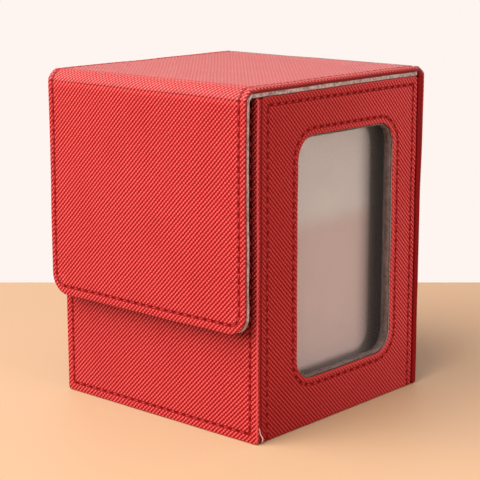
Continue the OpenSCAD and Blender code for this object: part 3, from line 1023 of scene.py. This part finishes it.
def make_threads():
    """Every row of stitches."""
    for place, body, surface, rows in (
            ("plain_side", "case", PLAIN_FACE, PLAIN_ROWS),
            ("front", "case", FRONT_FACE, WRAP_ROWS),
            ("back", "case", BACK_FACE, WRAP_ROWS),
            ("window_side", "case", SIDE_FACE, SIDE_ROWS),
            ("window", "case", SIDE_FACE, WINDOW_ROWS),
            ("lid", "lid", LID_FACE, LID_ROWS),
            ("flap", "flap", FLAP_FACE, FLAP_ROWS)):
        settle(stitches(place + "_thread", surface, rows), body, "thread", place + "_stitching")
    fold = stitches("fold_thread", FOLD_FACE, FOLD_ROWS)
    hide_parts("flap_stitching")
    blend_fold(fold)


def cloth(node, surface, low, high, thickness, body, fray=0.0, corner=0.5, cut=None):
    """A flat piece of lining with soft edges, that stands for a node. It rides on its body if one is given.
    """
    radius = min(CLOTH_EDGE_R, thickness * 0.45)
    draft = slab_draft(low, high, thickness, radius, corner, fray)
    if cut is not None:
        draft.cut_above(cut)
        bmesh.ops.holes_fill(draft.mesh, edges=draft.mesh.edges[:])
    piece = finished(node + "_cloth", draft, surface, (suede,))
    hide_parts(node)
    if body:
        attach(piece, body)
    return piece


def make_wall_linings():
    """The linings inside the walls and on the floor."""
    for node, axes in (("front_lining", (LEFT, UP, BACKWARD)), ("back_lining", (RIGHT, UP, FORWARD)),
                       ("plain_side_lining", (BACKWARD, UP, RIGHT)), ("floor_lining", (RIGHT, BACKWARD, UP))):
        corners = np.array(mm_box(node)) @ np.array(axes, float).T
        low, high = corners.min(axis=0), corners.max(axis=0)
        cloth(node, plane(high[2] * np.array(axes[2]), *axes), low[:2], high[:2], high[2] - low[2], "case")


def make_lid_linings():
    """The linings of the lid and the flap, and of the creases between them."""
    low, high = mm_box("lid_lining")
    under = plane((0, 0, low[2] - LID_LINING_SAG), RIGHT, FORWARD, DOWN)
    cloth("lid_lining", under, (low[0] + LINING_INSET, -high[1]), (high[0] - LINING_INSET, -low[1]),
          high[2] - low[2] + LID_LINING_SAG, "lid", LINING_FRAY)

    low, high = mm_box("flap_lining")
    behind = plane((0, high[1], 0), LEFT, UP, BACKWARD)
    thickness = high[1] - (FLAP_LOW[1] + FLAP_WRAP_T)
    cloth("flap_lining", behind, (low[0] + LINING_INSET, FLAP_LOW[2] + LINING_INSET),
          (high[0] - LINING_INSET, FOLD_Z + PAST_CUT), thickness, "flap", LINING_FRAY,
          LINING_CORNER_R, cut=FOLD_Z)

    inner_r = mm_box("lid_lining")[0][2] - FOLD_Z
    low, high = mm_box("fold_lining")
    under = crease(FOLD_Y, FOLD_Z, inner_r, (-1, 0), (0, 1), facing=-1)
    piece = cloth("fold_lining", under, (low[0] + LINING_INSET, -LINING_LAP),
                  (high[0] - LINING_INSET, inner_r * math.pi / 2 + LINING_LAP), thickness, None)
    blend_fold(piece)

    low, high = mm_box("hinge_lining")
    inner_r = high[1] - HINGE_Y - HINGE_LINING_T
    under = crease(HINGE_Y, WALL_TOP, inner_r, (0, 1), (1, 0), facing=-1)
    piece = cloth("hinge_lining", under, (low[0], -LINING_LAP),
                  (high[0], inner_r * math.pi / 2 + LINING_LAP), HINGE_LINING_T, None)
    blend_hinge(piece)


def make_window_lining():
    """The strip of lining glued round the window's edge, with a seam where it goes into the corners."""
    draft = Draft()
    step, seam_depth, seam_w, unevenness = 2.0, 0.35, 0.5, 0.12
    steps = [round(size / step) for size in WINDOW_HIGH - WINDOW_LOW]
    front, back = WINDOW_EDGE_R + 0.4, SIDE_HIGH[0] - PANE_HIGH[0]
    section = [(0.15, front + 0.1), (-0.1, front), (-0.45, front + 0.02), (-0.62, front + 0.2),
               (-0.66, (front + back) / 2), (-0.6, back), (0.15, back)]
    seams = [(WINDOW_HIGH[0], WINDOW_HIGH[1] - WINDOW_R), (WINDOW_HIGH[0], WINDOW_LOW[1] + WINDOW_R),
             (WINDOW_LOW[0] + WINDOW_R, WINDOW_LOW[1])]
    centre = (WINDOW_LOW + WINDOW_HIGH) / 2
    loops = []
    for grow, depth in section:
        points = rounded_loop(WINDOW_LOW, WINDOW_HIGH, [-grow] * 4, WINDOW_R + grow, steps)
        uneven = []
        for point in points:
            from_seam = min(math.dist(point, place) for place in seams)
            dent = seam_depth * math.exp(-(from_seam / seam_w) ** 2)
            dent += unevenness * noise.noise(Vector((*point, depth)) / 3)
            outward = (point - centre) / np.linalg.norm(point - centre)
            uneven.append(point + dent * outward)
        loops.append(draft.row(uneven, -depth))
    draft.join(loops + loops[:1], closed=True)
    draft.weld()
    draft.face_outwards()
    piece = finished("window_edge_lining_cloth", draft, SIDE_FACE, (dark_suede,))
    settle(piece, "case", "lining", "window_edge_lining")


def make_loose_corner():
    """A sliver of leather that has come loose at the front panel's lower corner, its pale back outside."""
    # out from the panel's side, back from its inner face, height, and the sliver's width there
    path = [(0.15, -0.2, 0.5, 0.3), (0.35, 0.2, 1.4, 0.7), (0.3, -0.3, 2.4, 0.65),
            (0.0, -0.8, 3.2, 0.5), (0.2, -1.0, 4.2, 0.45), (-0.05, -1.3, 5.4, 0.25)]
    outside, inside = 0.12, 0.3
    points = []
    for out, back, z, width in path:
        x, y = HALF_W + out, FRONT_HIGH[1] + back
        points += [(x, y - width / 2, z), (x + outside, y, z), (x, y + width / 2, z), (x - inside, y, z)]
    piece = smooth_piece("loose_corner", points, tube_faces(len(path), 4), backing)
    rounder = piece.modifiers.new("round", "SUBSURF")
    rounder.levels = rounder.render_levels = 2
    settle(piece, "case", "leather", "front_leather")


def give_materials_to_cad():
    """Gives the CAD pieces that stay their materials, by the ends of their names."""
    kinds = {"_board": board, "_magnets": nickel, "_pane": film, "divider_lining": pocket_back,
             "window_side_lining": dark_suede}
    for name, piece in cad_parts.items():
        for end, material in kinds.items():
            if name.endswith(end):
                piece.data.materials.clear()
                piece.data.materials.append(material)


make_front()
make_back()
make_floor()
make_flap()
make_lid()
make_fold()
make_hinge()
make_sides()
make_threads()
make_wall_linings()
make_lid_linings()
make_window_lining()
make_loose_corner()
give_materials_to_cad()


# ---- stage ----

CAMERA_AZIMUTH = 41.57
LAMP_WHITE = (1.0, 0.97, 0.94)


def direction(azimuth, elevation):
    """The way from the box towards a place. Azimuth 0 is straight in front of the flap."""
    a, e = math.radians(azimuth), math.radians(elevation)
    return Vector((math.sin(a) * math.cos(e), -math.cos(a) * math.cos(e), math.sin(e)))


def aim(thing, target, azimuth, elevation, distance):
    """Puts a thing at a distance from its target and turns it to face the target."""
    back = direction(azimuth, elevation)
    thing.location = target + back * distance
    thing.rotation_euler = (-back).to_track_quat("-Z", "Y").to_euler()


def make_table():
    """A plain pale table top, whose far edge is straight across the camera's view."""
    reach, behind = 3000, 140
    towards = direction(CAMERA_AZIMUTH, 0)
    across = direction(CAMERA_AZIMUTH + 90, 0)
    corners = [towards * near + across * side for near, side in
               ((reach, -reach), (reach, reach), (-behind, reach), (-behind, -reach))]
    recipe = Recipe("table")
    recipe.set(Base_Color=(0.27, 0.168, 0.098), Roughness=0.6, Specular_IOR_Level=0.3)
    piece = smooth_piece("table", corners, [(0, 1, 2, 3)], recipe.material)


def make_light(name, azimuth, elevation, distance, size, power):
    """A square soft light that faces the box's middle."""
    light = bpy.data.lights.new(name, "AREA")
    light.size, light.energy, light.color = size, power, LAMP_WHITE
    aim(linked(name, light), Vector((0, 0, 0.05)), azimuth, elevation, distance)


def make_camera():
    """The camera, placed by its azimuth, elevation and distance from the point that it is aimed at."""
    data = bpy.data.cameras.new("camera")
    data.sensor_width, data.lens = 36.0, 113.1
    data.shift_y = -0.05
    camera = linked("camera", data)
    aim(camera, Vector((0.00096, -0.00007, 0.0564)), CAMERA_AZIMUTH, elevation=11.44, distance=0.4724)
    bpy.context.scene.camera = camera


def make_world():
    """Pale surroundings that light the box from all sides."""
    world = bpy.data.worlds.new("studio")
    world.use_nodes = True
    background = world.node_tree.nodes["Background"]
    background.inputs["Color"].default_value = (0.99, 0.91, 0.87, 1)
    background.inputs["Strength"].default_value = 1.0
    bpy.context.scene.world = world
    bpy.context.scene.view_settings.view_transform = "Standard"


make_table()
make_light("key", azimuth=-12, elevation=42, distance=1.1, size=1.4, power=67.0)
make_light("window", azimuth=87, elevation=8, distance=1.3, size=0.4, power=17.0)
make_camera()
make_world()
